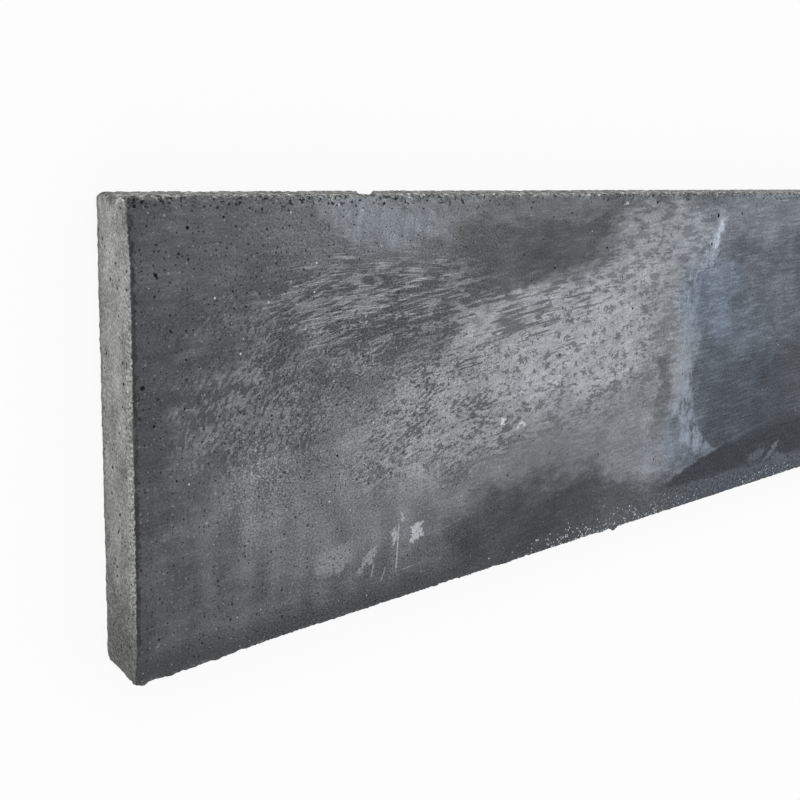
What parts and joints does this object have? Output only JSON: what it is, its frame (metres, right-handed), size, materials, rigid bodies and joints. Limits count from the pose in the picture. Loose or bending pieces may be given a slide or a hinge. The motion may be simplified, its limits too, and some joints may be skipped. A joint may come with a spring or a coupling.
{
  "type": "concrete slab",
  "caption": "Long narrow slab of dark grey cast concrete with a smooth mould face and worn edges, laid on edge between slotted posts at the foot of a fence.",
  "frame": {"origin": "middle of the underside, which is the slab's back, on the level that it lies on", "axes": "+X along the length, away from the end that shows, +Y across the width towards the edge that is uppermost when the slab stands in a fence, +Z through the thickness towards the smooth mould face"},
  "size_m": [1.84, 0.26, 0.035],
  "materials": {
    "concrete": "smooth cast concrete, matt, with pale streaks, fine air holes and crumbly arrises"
  },
  "bodies": {
    "root": {"slab": "concrete"}
  },
  "joints": []
}
